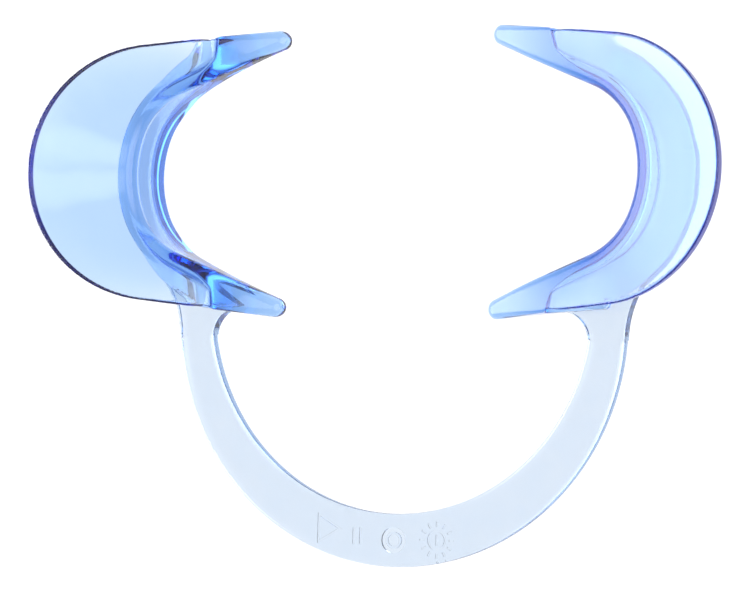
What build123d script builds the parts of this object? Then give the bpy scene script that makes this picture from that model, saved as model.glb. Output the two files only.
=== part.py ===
"""Cheek retractor: two C-shaped cups on a springy U-shaped bow, moulded in clear polycarbonate.

The retractor lies flat on the back of its bow and lip flanges, with the side that goes into the mouth up.
X runs from cup to cup, Y from the crown of the bow to the cups, and the cups are mirror images about X = 0.
Each cup is a channel that takes the lip: a flat lip flange below, a dished cheek flange above and a curved
wall between them. It narrows into a horn at either end. Millimetres.
"""

import os
from math import acos, atan2, cos, hypot, radians, sin, sqrt, tan

from build123d import *

os.makedirs("parts", exist_ok=True)

# ---------------------------------------------------------------- driving dimensions

# Bow: two circles whose centres differ, so that the crown is broader than the arms
bow_inner_radius = 41.7
bow_outer_radius = 49.2
bow_outer_drop = 3.2
bow_thickness = 2.8
bow_edge_round = 0.9
crown_half_width = 20.0
witness_drop = 6.4

# Cup outline, measured from the middle of the cup's height
cup_rise = 26.4
mouth_x = 32.8
mouth_radius = 21.85
cheek_x = 48.3
cheek_radius = 26.2
lip_x = 38.3
lip_radius = 25.5
lip_hook_x = 46.0
horn_slope = radians(22.7)
horn_blend_radius = 15.0
horn_root_x = 42.0
channel_root_x = 36.0
channel_end_round = 2.0

# Horn tips
tip_x = 24.4
tip_rise = 27.05
tip_radius = 2.0
tip_height = 7.5
tip_depth = 4.0

# Cup depth
lip_flange_thickness = 2.8
wall_thickness = 2.4
cheek_flange_thickness = 2.7
dish_inner_height = 13.9
rim_height = 23.2
channel_ramp_x = 50.0
channel_ramp_slope = 0.6
horn_foot_x = 48.8
horn_arch_x = 37.0
horn_arch_rise = 8.8
horn_top_slope = 0.32

# Neck between the bow and the lip flange
neck_inner_radius = 5.6
neck_top_drop = 21.0

# Marks moulded into the back of the crown
gate_radius = 2.6
gate_depth = 0.9
gate_pip_radius = 0.9
dial_x = 8.9
dial_radius = 3.9
dial_hub_radius = 1.6
mark_line = 0.4
mark_depth = 0.4
dial_ticks = 12
dial_tick_length = 0.9
shield_x = -14.5
shield_radius = 3.4
bar_x = -8.4
bar_length = 4.0

# ---------------------------------------------------------------- places that follow from them

bow_bottom_drop = bow_outer_drop + bow_outer_radius
bow_y = (bow_bottom_drop - cup_rise - tip_rise - tip_radius) / 2
outer_y = bow_y - bow_outer_drop
witness_y = bow_y - witness_drop
crown_y = bow_y - (bow_inner_radius + bow_bottom_drop) / 2
cup_y = bow_y + cup_rise
reach = 2 * cheek_radius

cup_plane = Plane(origin=(0, cup_y, 0))
front_plane = Plane(origin=(0, cup_y, 0), x_dir=(1, 0, 0), z_dir=(0, -1, 0))
cup_axis = Axis((mouth_x, cup_y, 0), (0, 0, 1))

mouth_width = mouth_x + mouth_radius
cheek_width = cheek_x + cheek_radius
dish_slope = (rim_height - dish_inner_height) / (cheek_width - mouth_width)
dish_under_drop = cheek_flange_thickness * sqrt(1 + dish_slope**2)


def polar(centre, radius, direction):
    """The point at a radius from a centre, along a unit direction."""
    return centre[0] + radius * direction[0], centre[1] + radius * direction[1]


def halfway(direction_a, direction_b):
    """The unit direction midway between two unit directions."""
    x = direction_a[0] + direction_b[0]
    y = direction_a[1] + direction_b[1]
    return x / hypot(x, y), y / hypot(x, y)


# The outer edge of the horn touches the tip circle and the cheek circle
tip_centre = (tip_x, tip_rise)
cheek_centre = (cheek_x, 0)
centre_distance = hypot(cheek_x - tip_x, tip_rise)
edge_angle = acos((tip_radius - cheek_radius) / centre_distance) - atan2(tip_rise, cheek_x - tip_x)
edge_normal = (cos(edge_angle), sin(edge_angle))

# The underside of the horn touches the tip circle and blends into the mouth circle
under_normal = (sin(horn_slope), cos(horn_slope))
under_offset = (tip_x - mouth_x) * under_normal[0] + tip_rise * under_normal[1] - tip_radius
blend_across = under_offset - horn_blend_radius
blend_along = sqrt((mouth_radius - horn_blend_radius) ** 2 - blend_across**2)
blend_centre = (
    mouth_x + blend_across * under_normal[0] + blend_along * under_normal[1],
    blend_across * under_normal[1] - blend_along * under_normal[0],
)
blend_reach = hypot(blend_centre[0] - mouth_x, blend_centre[1])
blend_direction = ((blend_centre[0] - mouth_x) / blend_reach, blend_centre[1] / blend_reach)
mouth_centre = (mouth_x, 0)


def mouth_curve(offset):
    """Upper half of the mouth-side outline from mid-height to the horn, moved outwards by an offset."""
    mouth = mouth_radius + offset
    blend = horn_blend_radius + offset
    turn = halfway((1, 0), blend_direction)
    end = polar(mouth_centre, mouth, blend_direction)
    ThreePointArc((mouth_x + mouth, 0), polar(mouth_centre, mouth, turn), end)
    bend = halfway(blend_direction, under_normal)
    start = polar(blend_centre, blend, blend_direction)
    ThreePointArc(start, polar(blend_centre, blend, bend), polar(blend_centre, blend, under_normal))


def dish_height(radius):
    """Height of the cheek flange's dished face at a radius from the mouth's centre."""
    return dish_inner_height + (radius - mouth_radius) * dish_slope


# ---------------------------------------------------------------- bow

with BuildPart() as bow:
    with BuildSketch() as bow_outline:
        with Locations((0, outer_y)):
            Circle(bow_outer_radius)
        with Locations((0, bow_y)):
            Circle(bow_inner_radius, mode=Mode.SUBTRACT)
        with Locations((0, witness_y)):
            Rectangle(2 * reach, 2 * reach, align=(Align.CENTER, Align.MAX), mode=Mode.INTERSECT)
    extrude(amount=bow_thickness)
    long_edges = [edge for edge in bow.edges() if edge.length > 2 * bow_inner_radius]
    fillet(long_edges, bow_edge_round)

with BuildPart() as crown:
    add(bow.part)
    split(bisect_by=Plane.YZ.offset(crown_half_width), keep=Keep.BOTTOM)
    split(bisect_by=Plane.YZ.offset(-crown_half_width), keep=Keep.TOP)
    # Injection gate: a round recess with a pip left in its middle
    with BuildSketch():
        with Locations((0, crown_y)):
            Circle(gate_radius)
            Circle(gate_pip_radius, mode=Mode.SUBTRACT)
    extrude(amount=gate_depth, mode=Mode.SUBTRACT)
    # Dial: a ring of ticks round a plain hub ring
    with BuildSketch():
        with Locations((dial_x, crown_y)):
            Circle(dial_hub_radius)
            Circle(dial_hub_radius - mark_line, mode=Mode.SUBTRACT)
        with Locations((dial_x, crown_y)):
            with PolarLocations(dial_radius - dial_tick_length, dial_ticks):
                Rectangle(dial_tick_length, mark_line, align=(Align.MIN, Align.CENTER))
    extrude(amount=mark_depth, mode=Mode.SUBTRACT)
    # Plain shield outline and bar
    with BuildSketch():
        with Locations((shield_x, crown_y)):
            RegularPolygon(shield_radius, 3, rotation=90)
            RegularPolygon(shield_radius - 2 * mark_line, 3, rotation=90, mode=Mode.SUBTRACT)
        with Locations((bar_x, crown_y)):
            Rectangle(mark_line, bar_length)
    extrude(amount=mark_depth, mode=Mode.SUBTRACT)
crown.part.label = "crown"

# ---------------------------------------------------------------- right cup, whole

with BuildPart() as cup:
    # Crescent with horns, seen from above
    with BuildSketch(cup_plane) as crescent:
        with BuildLine():
            mouth_curve(0)
            horn_start = polar(blend_centre, horn_blend_radius, under_normal)
            tip_under = polar(tip_centre, -tip_radius, under_normal)
            tip_edge = polar(tip_centre, tip_radius, edge_normal)
            Line(horn_start, tip_under)
            ThreePointArc(tip_under, (tip_x - tip_radius, tip_rise), tip_edge)
            Line(tip_edge, polar(cheek_centre, cheek_radius, edge_normal))
            edge_bend = polar(cheek_centre, cheek_radius, halfway(edge_normal, (1, 0)))
            ThreePointArc(polar(cheek_centre, cheek_radius, edge_normal), edge_bend, (cheek_width, 0))
            Line((cheek_width, 0), (mouth_width, 0))
        make_face()
        mirror(about=Plane.XZ)
    extrude(amount=rim_height)
    # Seen from the crown, the horns taper to their tips
    with BuildSketch(front_plane) as taper:
        with BuildLine():
            foot = (horn_foot_x, 0)
            low_tip = (tip_x - tip_radius, tip_height - tip_depth / 2)
            high_tip = (tip_x - tip_radius, tip_height + tip_depth / 2)
            high_end = (2 * reach, high_tip[1] + horn_top_slope * (2 * reach - high_tip[0]))
            arch = (horn_arch_x, horn_arch_rise)
            Polyline(low_tip, arch, foot, (2 * reach, 0), high_end, high_tip, close=True)
        make_face()
    extrude(amount=reach, both=True, mode=Mode.INTERSECT)
    # The side that faces the teeth is dished
    with BuildSketch(front_plane) as dish:
        with BuildLine():
            axis_top = (mouth_x, dish_height(0))
            edge_top = (mouth_x + reach, dish_height(reach))
            Polyline((mouth_x, 0), (mouth_x + reach, 0), edge_top, axis_top, close=True)
        make_face()
    revolve(axis=cup_axis, mode=Mode.INTERSECT)

# Everything below the cheek flange's lower face
with BuildPart() as under_dish:
    with BuildSketch(front_plane):
        with BuildLine():
            axis_under = (mouth_x, dish_height(0) - dish_under_drop)
            edge_under = (mouth_x + reach, dish_height(reach) - dish_under_drop)
            Polyline((mouth_x, 0), (mouth_x + reach, 0), edge_under, axis_under, close=True)
        make_face()
    revolve(axis=cup_axis)

# The stretch of the cup between its horns, seen from above
with BuildSketch() as flange_outline:
    with Locations((horn_root_x, 0)):
        Rectangle(reach, 2 * reach, align=(Align.MIN, Align.CENTER))

# Everything on the mouth's side of the channel wall's outer face
with BuildSketch() as wall_outline:
    with BuildLine():
        mouth_curve(wall_thickness)
        wall_bend = polar(blend_centre, horn_blend_radius + wall_thickness, under_normal)
        wall_end = (mouth_x, wall_bend[1] + (wall_bend[0] - mouth_x) * tan(horn_slope))
        Polyline(wall_bend, wall_end, (mouth_x, 0), (mouth_width + wall_thickness, 0))
    make_face()
    mirror(about=Plane.XZ)

with BuildSketch() as channel_outline:
    with Locations((channel_root_x, 0)):
        Rectangle(reach, 2 * reach, align=(Align.MIN, Align.CENTER))
    add(wall_outline.sketch, mode=Mode.SUBTRACT)
    inner_corners = channel_outline.vertices().group_by(Axis.X)[0].sort_by(lambda corner: abs(corner.Y))[:2]
    fillet(inner_corners, channel_end_round)

# The channel opens outwards between the flanges. Its floor is the lip flange, which ramps up to the horns.
# Beyond the lip flange's edge it is open below. That edge follows the lip circle, then hooks outwards.
with BuildPart() as channel:
    with BuildSketch(cup_plane):
        add(channel_outline.sketch)
    extrude(amount=rim_height)
    with BuildSketch(front_plane):
        with BuildLine():
            ramp_foot = (channel_ramp_x, lip_flange_thickness)
            ramp_rise = channel_ramp_slope * (channel_ramp_x - mouth_x)
            ramp_top = (mouth_x, lip_flange_thickness + ramp_rise)
            floor_end = (2 * reach, lip_flange_thickness)
            far_corner = (2 * reach, rim_height)
            Polyline(floor_end, ramp_foot, ramp_top, (mouth_x, rim_height), far_corner, close=True)
        make_face()
    extrude(amount=reach, both=True, mode=Mode.INTERSECT)
    with BuildSketch(cup_plane):
        add(channel_outline.sketch)
        with Locations((lip_hook_x, 0)):
            Rectangle(reach, 2 * reach, align=(Align.MIN, Align.CENTER), mode=Mode.INTERSECT)
        with Locations((lip_x, 0)):
            Circle(lip_radius, mode=Mode.SUBTRACT)
    extrude(amount=rim_height)
    add(under_dish.part, mode=Mode.INTERSECT)

with BuildPart() as flanges:
    with BuildSketch(cup_plane):
        add(flange_outline.sketch)
    extrude(amount=rim_height)
    add(cup.part, mode=Mode.INTERSECT)
    add(channel.part, mode=Mode.SUBTRACT)

with BuildPart() as horns:
    add(cup.part)
    with BuildSketch(cup_plane):
        add(flange_outline.sketch)
    extrude(amount=rim_height, mode=Mode.SUBTRACT)
    add(channel.part, mode=Mode.SUBTRACT)

# ---------------------------------------------------------------- right cup, piece by piece

with BuildPart() as lip_flange:
    add(flanges.part)
    split(bisect_by=Plane.XY.offset(lip_flange_thickness), keep=Keep.BOTTOM)

with BuildPart() as channel_wall:
    add(flanges.part)
    split(bisect_by=Plane.XY.offset(lip_flange_thickness), keep=Keep.TOP)
    add(under_dish.part, mode=Mode.INTERSECT)

with BuildPart() as cheek_flange:
    add(flanges.part)
    add(under_dish.part, mode=Mode.SUBTRACT)

mid_plane = Plane.XZ.offset(-cup_y)

with BuildPart() as upper_horn:
    add(horns.part)
    split(bisect_by=mid_plane, keep=Keep.BOTTOM)

with BuildPart() as lower_horn:
    add(horns.part)
    split(bisect_by=mid_plane, keep=Keep.TOP)

with BuildPart() as neck:
    with BuildSketch():
        with BuildLine():
            inner_start = (sqrt(bow_inner_radius**2 - witness_drop**2), witness_y)
            outer_start = (sqrt(bow_outer_radius**2 - (witness_drop - bow_outer_drop) ** 2), witness_y)
            outer_end = (lip_x + sqrt(lip_radius**2 - neck_top_drop**2), cup_y - neck_top_drop)
            inner_arc = JernArc(inner_start, (0, 1), neck_inner_radius, 90)
            Line(inner_arc @ 1, outer_end)
            TangentArc(outer_start, outer_end, tangent=(0, 1))
            Line(outer_start, inner_start)
        make_face()
    extrude(amount=bow_thickness)
    add(horns.part, mode=Mode.SUBTRACT)
    add(flanges.part, mode=Mode.SUBTRACT)

with BuildPart() as bow_arm:
    add(bow.part)
    split(bisect_by=Plane.YZ.offset(crown_half_width), keep=Keep.TOP)

# ---------------------------------------------------------------- both sides

side_pieces = {
    "lip_flange": lip_flange,
    "channel_wall": channel_wall,
    "cheek_flange": cheek_flange,
    "upper_horn": upper_horn,
    "lower_horn": lower_horn,
    "neck": neck,
    "bow_arm": bow_arm,
}

for piece_name, piece in side_pieces.items():
    piece.part.label = f"right_{piece_name}"
    export_step(piece.part, f"parts/right_{piece_name}.step")
    with BuildPart() as left_piece:
        mirror(piece.part, about=Plane.YZ)
    left_piece.part.label = f"left_{piece_name}"
    export_step(left_piece.part, f"parts/left_{piece_name}.step")

export_step(crown.part, "parts/crown.step")
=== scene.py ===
"""Looks for the cheek retractor: two clear blue cups and the paler bow, each one continuous moulded mesh.

The cups are made from a signed distance field, so that their fillets and rounded rims run into each other as
they do in a moulding. Shapes are worked out in millimetres and go into the scene in metres.
"""

from functools import reduce
from math import acos, asin, atan2, ceil, cos, hypot, pi, radians, sin, sqrt

import bpy
import numpy as np
from mathutils import Matrix, Vector
from mathutils.geometry import delaunay_2d_cdt


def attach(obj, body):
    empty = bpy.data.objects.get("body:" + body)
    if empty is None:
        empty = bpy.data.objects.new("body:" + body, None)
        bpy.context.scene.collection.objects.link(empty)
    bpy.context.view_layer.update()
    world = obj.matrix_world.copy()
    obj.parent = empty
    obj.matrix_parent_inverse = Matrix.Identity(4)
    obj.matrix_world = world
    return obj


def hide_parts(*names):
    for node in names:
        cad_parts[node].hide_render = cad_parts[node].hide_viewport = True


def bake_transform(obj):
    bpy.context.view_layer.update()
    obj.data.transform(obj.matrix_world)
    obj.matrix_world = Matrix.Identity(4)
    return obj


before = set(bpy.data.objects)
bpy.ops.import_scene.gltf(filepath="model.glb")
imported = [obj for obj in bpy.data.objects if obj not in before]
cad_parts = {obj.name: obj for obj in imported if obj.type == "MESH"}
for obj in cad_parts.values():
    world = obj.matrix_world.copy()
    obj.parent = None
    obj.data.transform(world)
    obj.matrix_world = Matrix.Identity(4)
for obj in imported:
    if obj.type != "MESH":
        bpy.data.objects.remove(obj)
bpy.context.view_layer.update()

METRES = 0.001
JOINT_GAP = 0.02  # between the cup's mesh and the neck's, in millimetres
LEAST_STEEPNESS = 0.05  # keeps a step small where a field is nearly flat
CUT_TOLERANCE = 1e-6

# ---------------------------------------------------------------- sizes, in millimetres

bow_inner_radius = 41.7
bow_outer_radius = 49.2
bow_outer_drop = 3.2
bow_thickness = 2.8
witness_drop = 6.4

cup_rise = 26.4
mouth_x = 32.8
mouth_radius = 21.85
cheek_x = 48.3
cheek_radius = 26.2
lip_x = 38.3
lip_radius = 25.5
horn_slope = radians(22.7)
horn_blend_radius = 15.0
channel_root_x = 36.0
channel_ramp_x = 50.0
channel_ramp_slope = 0.6
channel_ramp_blend = 4.0
lip_hook_x = 46.0

tip_x = 24.4
tip_rise = 27.05
tip_radius = 2.0
tip_height = 7.5
tip_depth = 4.0

lip_flange_thickness = 2.8
wall_thickness = 2.4
cheek_flange_thickness = 2.7
dish_inner_height = 13.9
rim_height = 23.2
horn_foot_x = 48.8
horn_arch_x = 37.0
horn_arch_rise = 8.8
horn_arch_blend = 8.0
horn_top_slope = 0.32
horn_top_blend = 4.0
neck_inner_radius = 5.6
neck_top_drop = 21.0

# Rounding of the edges
mouth_edge = 1.6
mouth_foot = 0.9
rim_edge = 0.55
nose_edge = 1.8
nose_growth = 1.5
horn_foot_edge = 2.0
flange_edge = 0.6
channel_fillet = 2.0
channel_end_round = 2.0
lip_hook_round = 2.5
bow_edge = 0.9
neck_edge = 0.3
neck_edge_growth = 0.15
least_edge = 0.003

bow_bottom_drop = bow_outer_drop + bow_outer_radius
bow_y = (bow_bottom_drop - cup_rise - tip_rise - tip_radius) / 2
outer_y = bow_y - bow_outer_drop
witness_y = bow_y - witness_drop
crown_y = bow_y - (bow_inner_radius + bow_bottom_drop) / 2
cup_y = bow_y + cup_rise

# ---------------------------------------------------------------- cup, as a distance field

mouth_width = mouth_x + mouth_radius
cheek_width = cheek_x + cheek_radius
dish_slope = (rim_height - dish_inner_height) / (cheek_width - mouth_width)
taper_low = tip_height - tip_depth / 2
taper_high = tip_height + tip_depth / 2
tip_end = tip_x - tip_radius
foot_slope = horn_arch_rise / (horn_foot_x - horn_arch_x)
arch_slope = (taper_low - horn_arch_rise) / (horn_arch_x - tip_end)

centre_distance = hypot(cheek_x - tip_x, tip_rise)
edge_angle = acos((tip_radius - cheek_radius) / centre_distance) - atan2(tip_rise, cheek_x - tip_x)
edge_normal = (cos(edge_angle), sin(edge_angle))
edge_along = (-edge_normal[1], edge_normal[0])
edge_length = (tip_x - cheek_x) * edge_along[0] + tip_rise * edge_along[1]

under_normal = (sin(horn_slope), cos(horn_slope))
under_offset = (tip_x - mouth_x) * under_normal[0] + tip_rise * under_normal[1] - tip_radius
blend_across = under_offset - horn_blend_radius
blend_along = sqrt((mouth_radius - horn_blend_radius) ** 2 - blend_across**2)
blend_x = mouth_x + blend_across * under_normal[0] + blend_along * under_normal[1]
blend_y = blend_across * under_normal[1] - blend_along * under_normal[0]
blend_reach = hypot(blend_x - mouth_x, blend_y)
blend_direction = ((blend_x - mouth_x) / blend_reach, blend_y / blend_reach)

neck_inner_start = sqrt(bow_inner_radius**2 - witness_drop**2)
neck_outer_start = sqrt(bow_outer_radius**2 - (witness_drop - bow_outer_drop) ** 2)
neck_outer_end = (lip_x + sqrt(lip_radius**2 - neck_top_drop**2), cup_y - neck_top_drop)
neck_inner_end = (neck_inner_start - neck_inner_radius, witness_y + neck_inner_radius)
neck_end_slope = (neck_outer_end[1] - neck_inner_end[1]) / (neck_outer_end[0] - neck_inner_end[0])
neck_rise = neck_outer_end[1] - witness_y
neck_flare = neck_outer_end[0] - neck_outer_start
neck_outer_radius = (neck_flare**2 + neck_rise**2) / (2 * neck_flare)


def both(a, b, radius):
    """Distance to what is inside both shapes, with the edge between them rounded."""
    inner = np.minimum(np.maximum(a, b) + radius, 0)
    return inner + np.hypot(np.maximum(a + radius, 0), np.maximum(b + radius, 0)) - radius


def overlap(*distances):
    """Distance to what is inside every shape, with sharp edges."""
    return reduce(np.maximum, distances)


def either(a, b, radius):
    """Distance to what is inside either shape, with a fillet between them."""
    return -both(-a, -b, radius)


def mouth_distance(x, y):
    """Distance outwards from the cup's mouth-side outline: two arcs and the underside of the horn."""
    circle = np.hypot(x - mouth_x, y) - mouth_radius
    blend = np.hypot(x - blend_x, y - blend_y) - horn_blend_radius
    line = (x - mouth_x) * under_normal[0] + y * under_normal[1] - under_offset
    past_circle = blend_direction[0] * (y - blend_y) - blend_direction[1] * (x - blend_x) > 0
    past_blend = under_normal[0] * (y - blend_y) - under_normal[1] * (x - blend_x) > 0
    return np.where(past_blend, line, np.where(past_circle, blend, circle))


def edge_distance(x, y):
    """Distance outwards from the cup's outer outline: cheek circle, straight edge and tip circle."""
    along = (x - cheek_x) * edge_along[0] + y * edge_along[1]
    circle = np.hypot(x - cheek_x, y) - cheek_radius
    line = (x - cheek_x) * edge_normal[0] + y * edge_normal[1] - cheek_radius
    tip = np.hypot(x - tip_x, y - tip_rise) - tip_radius
    return np.where(along > edge_length, tip, np.where(along < 0, circle, line))


def neck_distance(x, y):
    """Distance outwards from the neck's outline, which joins the bow to the lip flange."""
    inner = neck_inner_radius - np.hypot(x - neck_inner_end[0], y - witness_y)
    outer = neck_outer_radius - np.hypot(x - neck_outer_start - neck_outer_radius, y - witness_y)
    end = (y - neck_inner_end[1] - (x - neck_inner_end[0]) * neck_end_slope) / hypot(1, neck_end_slope)
    return overlap(inner, outer, neck_inner_end[0] - x, end)


def cup_distance(x, y, z):
    """Distance outwards from the right cup's surface."""
    across = y - cup_y
    rise = np.abs(across)
    mouth = mouth_distance(x, rise)
    edge = edge_distance(x, rise)
    lean = hypot(1, dish_slope)
    dish = (z - dish_inner_height - (np.hypot(x - mouth_x, rise) - mouth_radius) * dish_slope) / lean
    under_dish = dish + cheek_flange_thickness

    # Horns taper towards their tips, where the edges round into a nose
    taper = (z - taper_high - (x - tip_end) * horn_top_slope) / hypot(1, horn_top_slope)
    top = both(dish, taper, horn_top_blend)
    foot = ((horn_foot_x - x) * foot_slope - z) / hypot(1, foot_slope)
    arch = (horn_arch_rise + (horn_arch_x - x) * arch_slope - z) / hypot(1, arch_slope)
    bottom = both(-z, either(foot, arch, horn_arch_blend), horn_foot_edge)
    nose = np.clip((channel_ramp_x - x) / (channel_ramp_x - tip_x), 0, 1) ** nose_growth
    outer_round = rim_edge + (nose_edge - rim_edge) * nose
    mouth_round = mouth_edge + (nose_edge - mouth_edge) * nose
    foot_round = mouth_foot + (nose_edge - mouth_foot) * nose
    outside = np.maximum(both(edge, top, outer_round), both(edge, bottom, outer_round))
    inside = np.maximum(both(-mouth, top, mouth_round), both(-mouth, bottom, foot_round))
    body = np.maximum(outside, inside)

    # Channel between the flanges: its floor is the lip flange, which ramps up to the horns
    outline = both(wall_thickness - mouth, channel_root_x - x, channel_end_round)
    ramp_rise = lip_flange_thickness + (channel_ramp_x - x) * channel_ramp_slope
    ramp = (z - ramp_rise) / hypot(1, channel_ramp_slope)
    plate_edge = -both(lip_hook_x - x, lip_radius - np.hypot(x - lip_x, rise), lip_hook_round)
    lip_top = either(z - lip_flange_thickness, ramp, channel_ramp_blend)
    lip = both(lip_top, plate_edge, flange_edge)
    channel = both(both(outline, under_dish, channel_fillet), -lip, channel_fillet)
    cup = both(body, -channel, flange_edge)

    # Room for the neck, which is moulded with the bow
    neck = overlap(neck_distance(x, y), z - bow_thickness) - JOINT_GAP
    return np.maximum(cup, -neck)


def gradient(field, points, step=0.01):
    """Slope of a field at points, by central differences."""
    slope = np.empty_like(points)
    for axis in range(3):
        offset = np.zeros(3)
        offset[axis] = step
        ahead = field(*(points + offset).T)
        behind = field(*(points - offset).T)
        slope[:, axis] = (ahead - behind) / (2 * step)
    return slope


def settle(field, points, steps):
    """Points moved along the slope of a field onto its surface."""
    for _ in range(steps):
        slope = gradient(field, points)
        steepness = np.maximum((slope**2).sum(1), LEAST_STEEPNESS)
        points = points - slope * (field(*points.T) / steepness)[:, None]
    return points


def surface_net(field, low, high, cell):
    """Points and quads of the surface where a field crosses zero.

    The surface has one point in each cell that it crosses.
    """
    low = np.array(low, float)
    counts = [ceil((h - l) / cell) + 1 for l, h in zip(low, high)]
    axes = [l + cell * np.arange(n) for l, n in zip(low, counts)]
    values = field(axes[0][:, None, None], axes[1][None, :, None], axes[2][None, None, :])
    inside = values < 0

    total = np.zeros(tuple(n - 1 for n in counts) + (3,))
    crossings = np.zeros(total.shape[:3])
    quads = []
    for axis in range(3):
        near = [slice(None)] * 3
        far = [slice(None)] * 3
        near[axis] = slice(None, -1)
        far[axis] = slice(1, None)
        start, end = values[tuple(near)], values[tuple(far)]
        crossed = np.argwhere((start < 0) != (end < 0))
        ends = tuple(crossed.T)
        share = start[ends] / (start[ends] - end[ends])
        place = crossed.astype(float)
        place[:, axis] += share
        side_a, side_b = (axis + 1) % 3, (axis + 2) % 3
        corners = []
        for shift_a, shift_b in ((-1, -1), (0, -1), (0, 0), (-1, 0)):
            cell_index = crossed.copy()
            cell_index[:, side_a] += shift_a
            cell_index[:, side_b] += shift_b
            corners.append(cell_index)
            spot = tuple(cell_index.T)
            np.add.at(total, spot, place)
            np.add.at(crossings, spot, 1)
        ring = np.stack(corners, 1)
        leaving = inside[tuple(near)][ends]
        ring[~leaving] = ring[~leaving][:, ::-1]
        quads.append(ring)
    used = crossings > 0
    number = np.full(crossings.shape, -1)
    number[used] = np.arange(used.sum())
    points = low + cell * total[used] / crossings[used][:, None]
    rings = np.concatenate(quads)
    return points, number[tuple(rings.reshape(-1, 3).T)].reshape(-1, 4)


def relax(field, points, quads, rounds):
    """Points evened out along the surface."""
    edges = np.concatenate([quads[:, [0, 1]], quads[:, [1, 2]], quads[:, [2, 3]], quads[:, [3, 0]]])
    edges = np.concatenate([edges, edges[:, ::-1]])
    degree = np.bincount(edges[:, 0], minlength=len(points))[:, None]
    for _ in range(rounds):
        around = np.zeros_like(points)
        np.add.at(around, edges[:, 0], points[edges[:, 1]])
        points = settle(field, (points + around / degree) / 2, 1)
    return points


def add_mesh(name, points, faces):
    """A scene object from points in millimetres."""
    mesh = bpy.data.meshes.new(name)
    mesh.from_pydata((np.array(points) * METRES).tolist(), [], faces)
    mesh.validate()
    piece = bpy.data.objects.new(name, mesh)
    bpy.context.scene.collection.objects.link(piece)
    return piece


# With these margins no cell is pinched, so every edge has two faces
cell = 0.4
margin = np.array([1, 4, 1.25])
cup_low = np.array([tip_end, cup_y - cheek_radius, 0]) - margin
cup_high = np.array([cheek_width, cup_y + cheek_radius, rim_height]) + margin
points, quads = surface_net(cup_distance, cup_low, cup_high, cell)
points = settle(cup_distance, points, 4)
points = relax(cup_distance, points, quads, 3)
points = settle(cup_distance, points, 3)
normals = gradient(cup_distance, points)
normals /= np.linalg.norm(normals, axis=1)[:, None]

cup_pieces = ("lip_flange", "channel_wall", "cheek_flange", "upper_horn", "lower_horn")
cups = []
for side, sign in (("left", -1), ("right", 1)):
    flip = np.array([sign, 1, 1])
    cup = add_mesh(f"{side}_cup", points * flip, quads[:, ::sign].tolist())
    cup.data.shade_smooth()
    cup.data.normals_split_custom_set_from_vertices((normals * flip).tolist())
    cups.append(cup)
    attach(cup, f"{side}_side")
    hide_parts(*[f"{side}_{piece}" for piece in cup_pieces])

# ---------------------------------------------------------------- bow and necks

EDGE_STEPS = 5
bow_spacing = 0.8
neck_spacing = 0.3


def arc(centre, radius, start, end, spacing):
    """Points along an arc, from one angle to another."""
    count = ceil(abs(end - start) * radius / spacing) + 1
    turns = np.linspace(start, end, count)
    return np.stack([centre[0] + radius * np.cos(turns), centre[1] + radius * np.sin(turns)], 1)


def circle(centre, radius, steps=48):
    """Points round a circle, counterclockwise."""
    turns = np.arange(steps) * 2 * pi / steps
    return np.stack([centre[0] + radius * np.cos(turns), centre[1] + radius * np.sin(turns)], 1)


def bar(centre, length, width, angle):
    """Corners of a bar, counterclockwise."""
    along = np.array([cos(angle), sin(angle)]) * length / 2
    aside = np.array([-sin(angle), cos(angle)]) * width / 2
    corners = ((-1, -1), (1, -1), (1, 1), (-1, 1))
    return np.array([np.array(centre) + a * along + b * aside for a, b in corners])


def contains(loop, spots):
    """Which of the spots lie inside a closed loop."""
    start, end = loop, np.roll(loop, -1, 0)
    x, y = spots[:, 0, None], spots[:, 1, None]
    straddles = (start[:, 1] > y) != (end[:, 1] > y)
    rise = np.where(end[:, 1] == start[:, 1], 1, end[:, 1] - start[:, 1])
    crossing = start[:, 0] + (y - start[:, 1]) / rise * (end[:, 0] - start[:, 0])
    return (straddles & (x < crossing)).sum(1) % 2 == 1


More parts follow.
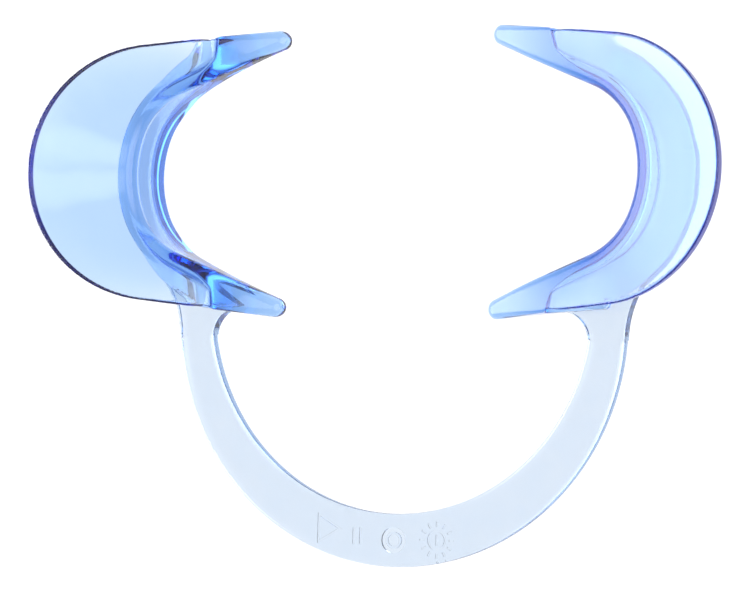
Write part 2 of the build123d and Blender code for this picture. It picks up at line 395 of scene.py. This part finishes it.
def flat_face(ring, first, height, facing, marks, spare):
    """Closes a ring of numbered points with a flat face that has marks sunk into it.

    A mark is a loop and a depth. Marks are listed from the outside in, and every second loop rises back to
    the face. Returns new points, numbered from spare, and faces.
    """
    mark_loops = [loop for loop, _ in marks]
    loops = [ring] + mark_loops
    starts = np.cumsum([0] + [len(loop) for loop in loops])
    lines = [
        (start + k, start + (k + 1) % len(loop))
        for start, loop in zip(starts, loops)
        for k in range(len(loop))
    ]
    flat = np.vstack(loops)
    cut = delaunay_2d_cdt([Vector(spot) for spot in flat], lines, [], 0, CUT_TOLERANCE)
    triangles, origins = cut[2], cut[3]
    triangles = np.array([[origins[corner][0] for corner in triangle] for triangle in triangles])
    centres = flat[triangles].mean(1)
    keep = contains(ring, centres)
    triangles, centres = triangles[keep], centres[keep]

    added = flat[len(ring):]
    depths = np.repeat([depth for _, depth in marks], [len(loop) for loop in mark_loops])
    shallow = np.column_stack([added, np.full(len(added), height)])
    sunk = np.column_stack([added, height - facing * depths])
    ring_numbers = np.arange(len(ring)) + first
    added_numbers = np.arange(len(added)) + spare
    upper = np.concatenate([ring_numbers, added_numbers])
    lower = np.concatenate([ring_numbers, added_numbers + len(added)])

    level = sum(contains(loop, centres).astype(int) for loop in mark_loops)
    faces = [*upper[triangles[level % 2 == 0]], *lower[triangles[level % 2 == 1]]]
    for number, loop in enumerate(mark_loops, 1):
        others = mark_loops[:number - 1] + mark_loops[number:]
        around = sum(int(contains(other, loop[:1])[0]) for other in others)
        for k in range(len(loop)):
            a, b = starts[number] + k, starts[number] + (k + 1) % len(loop)
            wall = [upper[a], upper[b], lower[b], lower[a]]
            faces.append(wall if around % 2 == 0 else wall[::-1])
    if facing < 0:
        faces = [face[::-1] for face in faces]
    return np.vstack([shallow, sunk]), [[int(corner) for corner in face] for face in faces]


outer_turn = asin((witness_drop - bow_outer_drop) / bow_outer_radius)
inner_turn = asin(witness_drop / bow_inner_radius)
flare_turn = asin(neck_rise / neck_outer_radius)
outer_bow = arc((0, outer_y), bow_outer_radius, -pi / 2, -outer_turn, bow_spacing)
inner_bow = arc((0, bow_y), bow_inner_radius, -pi / 2, -inner_turn, bow_spacing)
outer_centre = (neck_outer_start + neck_outer_radius, witness_y)
inner_centre = (neck_inner_end[0], witness_y)
outer_neck = arc(outer_centre, neck_outer_radius, pi, pi - flare_turn, neck_spacing)[1:]
inner_neck = arc(inner_centre, neck_inner_radius, 0, pi / 2, neck_spacing)[1:]


def neck_radii(points):
    """Edge rounding along a neck's outline, which dies away where the neck meets the cup."""
    left = np.linalg.norm(points - points[-1], axis=1)
    return np.clip(neck_edge_growth * left, least_edge, neck_edge)


right_half = np.vstack([outer_bow, outer_neck, inner_neck[::-1], inner_bow[::-1]])
edge_radii = np.concatenate([
    np.full(len(outer_bow), bow_edge),
    neck_radii(outer_neck),
    neck_radii(inner_neck)[::-1],
    np.full(len(inner_bow), bow_edge),
])
left_half = (right_half * [-1, 1])[::-1][1:-1]
outline = np.vstack([right_half, left_half])
edge_radii = np.concatenate([edge_radii, edge_radii[::-1][1:-1]])
ahead = np.roll(outline, -1, 0) - outline
behind = outline - np.roll(outline, 1, 0)
ahead /= np.linalg.norm(ahead, axis=1)[:, None]
behind /= np.linalg.norm(behind, axis=1)[:, None]
outwards = (ahead + behind)[:, ::-1] * [1, -1]
outwards /= np.linalg.norm(outwards, axis=1)[:, None]

rings = []
for step in range(EDGE_STEPS + 1):
    turn = pi / 2 * step / EDGE_STEPS
    flat = outline - outwards * (edge_radii * (1 - sin(turn)))[:, None]
    rings.append(np.column_stack([flat, edge_radii * (1 - cos(turn))]))
rings += [ring * [1, 1, -1] + [0, 0, bow_thickness] for ring in reversed(rings)]
count = len(outline)
faces = []
for level in range(len(rings) - 1):
    for i in range(count):
        j = (i + 1) % count
        base = level * count
        faces.append([base + i, base + j, base + count + j, base + count + i])

# Marks moulded into the back of the crown: gate, triangle, two bars, and a dial of ticks round a hub
gate_depth = 0.5
gate_centre_depth = 0.3
mark_depth = 0.2
line_width = 0.35
dial_ticks = 12
tick_circle = 3.2
tick_length = 1.0
gate = (0, crown_y)
dial = (9.4, crown_y + 0.35)
triangle = (-15.2, crown_y + 1.9)
bar_places = ((-8.9, crown_y + 0.6), (-7.4, crown_y + 0.6))
gate_rings = ((2.6, gate_depth), (1.7, gate_depth), (1.2, gate_centre_depth))
hub_radii = (2.0, 1.65)
pointer_length = 2.2
triangle_radii = (3.6, 2.8)
bar_length = 3.4
bar_width = 0.4

engraved = [circle(dial, radius) for radius in hub_radii]
engraved.append(bar(dial, pointer_length, line_width, pi / 2))
engraved += [circle(triangle, radius, 3) for radius in triangle_radii]
engraved += [bar(place, bar_length, bar_width, pi / 2) for place in bar_places]
for turn in (k * 2 * pi / dial_ticks for k in range(dial_ticks)):
    place = (dial[0] + tick_circle * cos(turn), dial[1] + tick_circle * sin(turn))
    engraved.append(bar(place, tick_length, line_width, turn))
marks = [(circle(gate, radius), depth) for radius, depth in gate_rings]
marks += [(loop, mark_depth) for loop in engraved]

# A witness line crosses each neck, on both faces
witness_x = 45.15
witness_offset = 0.1
witness_length = 5.7
witness_width = 0.2
witness_depth = 0.06
witness_centres = [(side * witness_x, witness_y + witness_offset) for side in (-1, 1)]
witness = [(bar(centre, witness_length, witness_width, 0), witness_depth) for centre in witness_centres]

points = np.vstack(rings)
flats = ((0, 0, -1, marks + witness), (len(rings) - 1, bow_thickness, 1, witness))
for level, height, facing, sunk in flats:
    extra, cap = flat_face(rings[level][:, :2], level * count, height, facing, sunk, len(points))
    points = np.vstack([points, extra])
    faces += cap
bow = add_mesh("bow", points, faces)
weights = bow.modifiers.new("normals", "WEIGHTED_NORMAL")
weights.keep_sharp = True
sharp_angle = radians(40)
bow.data.shade_smooth()
bow.data.set_sharp_from_angle(angle=sharp_angle)
finished = bpy.data.meshes.new_from_object(bow.evaluated_get(bpy.context.evaluated_depsgraph_get()))
bow.modifiers.clear()
bow.data = finished

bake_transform(bow)
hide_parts("crown", "left_bow_arm", "right_bow_arm", "left_neck", "right_neck")

# ---------------------------------------------------------------- materials


def clear_plastic(name, colour, density):
    """Polished clear plastic that takes its colour from the light lost on the way through it."""
    material = bpy.data.materials.new(name)
    material.use_nodes = True
    nodes, links = material.node_tree.nodes, material.node_tree.links
    shader = nodes["Principled BSDF"]
    shader.inputs["Transmission Weight"].default_value = 1
    shader.inputs["IOR"].default_value = 1.586
    place = nodes.new("ShaderNodeTexCoord")

    # Slight flow waves left by moulding, and handling haze
    waves = nodes.new("ShaderNodeTexNoise")
    waves.inputs["Scale"].default_value = 90
    waves.inputs["Detail"].default_value = 1
    links.new(place.outputs["Object"], waves.inputs["Vector"])
    bump = nodes.new("ShaderNodeBump")
    bump.inputs["Strength"].default_value = 0.35
    bump.inputs["Distance"].default_value = 0.0004
    links.new(waves.outputs["Fac"], bump.inputs["Height"])
    links.new(bump.outputs["Normal"], shader.inputs["Normal"])

    haze = nodes.new("ShaderNodeTexNoise")
    haze.inputs["Scale"].default_value = 220
    haze.inputs["Detail"].default_value = 3
    links.new(place.outputs["Object"], haze.inputs["Vector"])
    roughness = nodes.new("ShaderNodeMapRange")
    roughness.inputs["From Min"].default_value = 0.35
    roughness.inputs["From Max"].default_value = 0.75
    roughness.inputs["To Min"].default_value = 0.02
    roughness.inputs["To Max"].default_value = 0.09
    links.new(haze.outputs["Fac"], roughness.inputs["Value"])
    links.new(roughness.outputs["Result"], shader.inputs["Roughness"])

    # The vector sockets share their names with the number sockets, so they are taken by their place
    tint = nodes.new("ShaderNodeMapRange")
    tint.data_type = "FLOAT_VECTOR"
    value, to_min, to_max = tint.inputs[6], tint.inputs[9], tint.inputs[10]
    to_min.default_value = (0.93, 0.965, 1.0)
    to_max.default_value = (1, 1, 1)
    links.new(haze.outputs["Fac"], value)
    links.new(tint.outputs[1], shader.inputs["Base Color"])

    volume = nodes.new("ShaderNodeVolumeAbsorption")
    volume.inputs["Color"].default_value = (*colour, 1)
    volume.inputs["Density"].default_value = density
    links.new(volume.outputs["Volume"], nodes["Material Output"].inputs["Volume"])
    return material


cup_plastic = clear_plastic("cup_plastic", (0.02, 0.45, 0.87), 285)
bow_plastic = clear_plastic("bow_plastic", (0.03, 0.33, 0.67), 120)
for cup in cups:
    cup.data.materials.append(cup_plastic)
bow.data.materials.append(bow_plastic)

# ---------------------------------------------------------------- floor, light and camera

floor_reach = 3000
floor_drop = 0.4
floor_sides = ((-1, -1), (1, -1), (1, 1), (-1, 1))
floor_corners = [(x * floor_reach, y * floor_reach, -floor_drop) for x, y in floor_sides]
floor = add_mesh("floor", floor_corners, [(0, 1, 2, 3)])
pale = bpy.data.materials.new("floor")
pale.use_nodes = True
shader = pale.node_tree.nodes["Principled BSDF"]
shader.inputs["Base Color"].default_value = (0.15, 0.15, 0.15, 1)
shader.inputs["Roughness"].default_value = 0.8
shader.inputs["Specular IOR Level"].default_value = 0
shader.inputs["Emission Color"].default_value = (1, 1, 1, 1)
shader.inputs["Emission Strength"].default_value = 1.0
floor.data.materials.append(pale)

world = bpy.data.worlds.new("studio")
world.use_nodes = True
nodes, links = world.node_tree.nodes, world.node_tree.links
sky = nodes["Background"]
direction = nodes.new("ShaderNodeTexCoord")


def glow(towards, start, end, strength):
    """Brightness of a round soft light, seen in a direction."""
    aim = nodes.new("ShaderNodeVectorMath")
    aim.operation = "DOT_PRODUCT"
    links.new(direction.outputs["Generated"], aim.inputs[0])
    aim.inputs[1].default_value = Vector(towards).normalized()
    fade = nodes.new("ShaderNodeMapRange")
    fade.interpolation_type = "SMOOTHSTEP"
    fade.inputs["From Min"].default_value = start
    fade.inputs["From Max"].default_value = end
    fade.inputs["To Max"].default_value = strength
    links.new(aim.outputs["Value"], fade.inputs["Value"])
    return fade.outputs["Result"]


def plus(a, b):
    """Sum of two brightnesses."""
    total = nodes.new("ShaderNodeMath")
    links.new(a, total.inputs[0])
    links.new(b, total.inputs[1])
    return total.outputs["Value"]


side_light = glow((-0.92, 0, 0.39), 0.78, 0.95, 5.0)
top_light = glow((0.12, 0, 0.99), 0.975, 0.995, 1.5)
mouth_light = glow((0.9, 0, 0.42), 0.75, 0.95, 2.5)
near_strip = glow((0.34, -0.06, 0.94), 0.994, 0.9998, 1.6)
far_strip = glow((0.34, 0.125, 0.93), 0.994, 0.9998, 1.6)
sky_light = glow((-0.2, 0, 1), -1.0, 0.6, 0.75)
lights = plus(plus(side_light, plus(top_light, mouth_light)), plus(near_strip, far_strip))
links.new(plus(lights, sky_light), sky.inputs["Strength"])
sky.inputs["Color"].default_value = (1, 1, 1, 1)
bpy.context.scene.world = world
bpy.context.scene.view_settings.view_transform = "Standard"

# Light that is reflected inside the plastic crosses it many times before it leaves
bounces = 40
bpy.context.scene.cycles.max_bounces = bounces
bpy.context.scene.cycles.transmission_bounces = bounces
bpy.context.scene.cycles.glossy_bounces = bounces

# The camera looks down on the retractor from the right cup's side
yaw, pitch, roll = radians(24.87), radians(-1.65), radians(1.26)
turned = Matrix.Rotation(-roll, 3, "Z") @ Matrix.Rotation(pitch, 3, "X") @ Matrix.Rotation(-yaw, 3, "Y")
camera_place = (0.2748, -0.0189, 0.6055)
view = bpy.data.cameras.new("camera")
view.sensor_width = 36
view.lens = 158.304
view.clip_end = 20
camera = bpy.data.objects.new("camera", view)
camera.matrix_world = Matrix.Translation(camera_place) @ turned.transposed().to_4x4()
bpy.context.scene.collection.objects.link(camera)
bpy.context.scene.camera = camera
